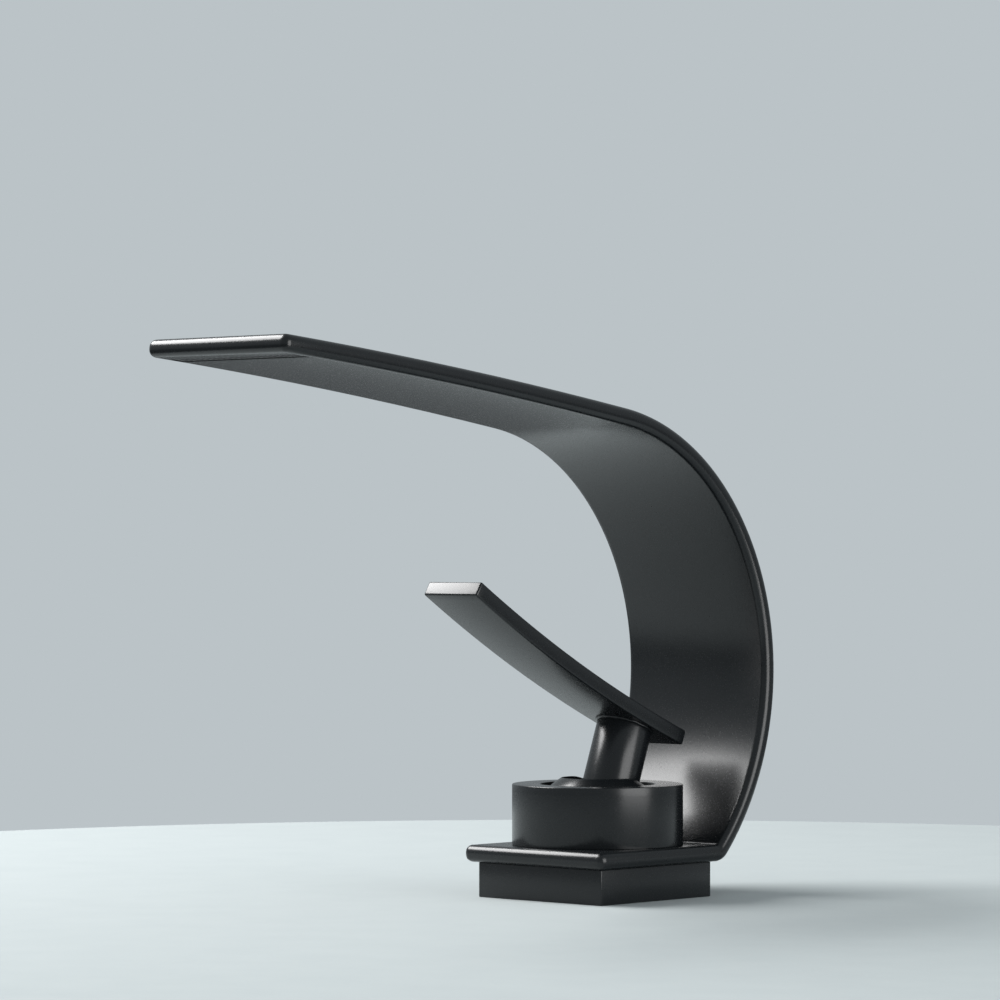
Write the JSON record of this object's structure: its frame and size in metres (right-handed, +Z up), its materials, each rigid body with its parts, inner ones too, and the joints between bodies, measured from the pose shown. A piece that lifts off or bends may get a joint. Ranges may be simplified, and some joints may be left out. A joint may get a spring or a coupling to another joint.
{
  "type": "bathroom mixer faucet",
  "caption": "Single-lever basin mixer bent from one flat strip: square plinth, round bonnet ring, tilted paddle lever, wide waterfall spout and deck clamp below.",
  "frame": {"origin": "centre of the plinth's underside, on the deck, at the top of the threaded shank", "axes": "+Z up, -Y is the way the spout reaches, +X to the right seen from the front"},
  "size_m": [0.0544, 0.2023, 0.2166],
  "materials": {
    "black_coat": "satin black electro-coat",
    "black_plastic": "moulded",
    "raw_brass": "turned",
    "steel": "zinc plated",
    "rubber": "moulded",
    "white_plastic": "moulded",
    "grey_plastic": "moulded",
    "ceramic": "lapped"
  },
  "bodies": {
    "body": {"plinth": "black_coat", "base_gasket": "rubber", "spout_body": "black_coat", "outlet_comb": "black_plastic", "valve_body": "raw_brass", "body_o_rings": "rubber", "bonnet_ring": "black_coat", "dome_glide_ring": "white_plastic", "cartridge_nut": "raw_brass", "cartridge_housing": "grey_plastic", "cartridge_side_seal": "rubber", "cartridge_base": "grey_plastic", "cartridge_port_seals": "rubber", "fixed_ceramic_disc": "ceramic", "mounting_stud": "steel"},
    "swivel": {"spindle_guide": "black_plastic", "spindle_pivot_pin": "steel", "dome_cover": "black_coat"},
    "lever": {"lever_handle": "black_coat", "lever_stem": "black_coat", "spindle": "steel", "lever_grub_screw": "steel", "grub_screw_plug": "black_plastic"},
    "disc": {"disc_carrier": "white_plastic", "moving_ceramic_disc": "ceramic"},
    "clamp": {"clamp_pad": "rubber", "clamp_plate": "steel", "clamp_nut": "steel"}
  },
  "joints": [
    {"name": "swivel", "type": "hinge", "parent": "body", "child": "swivel", "pos_m": [0, 0.0012, 0.0173], "axis": [0, 0, 1], "range_deg": [-45, 45]},
    {"name": "lever_lift", "type": "hinge", "parent": "swivel", "child": "lever", "pos_m": [0, 0.0012, 0.0173], "axis": [-1, 0, 0], "range_deg": [-20, 5]},
    {"name": "disc_slide", "type": "slide", "parent": "swivel", "child": "disc", "axis": [0, -1, 0], "range_m": [-0.0022, 0.0007]},
    {"name": "clamp_slide", "type": "slide", "parent": "body", "child": "clamp", "axis": [0, 0, 1], "range_m": [-0.015, 0.005]}
  ],
  "couplings": [
    {"joint": "disc_slide", "follows": "lever_lift", "m_per_rad": 0.00587}
  ]
}
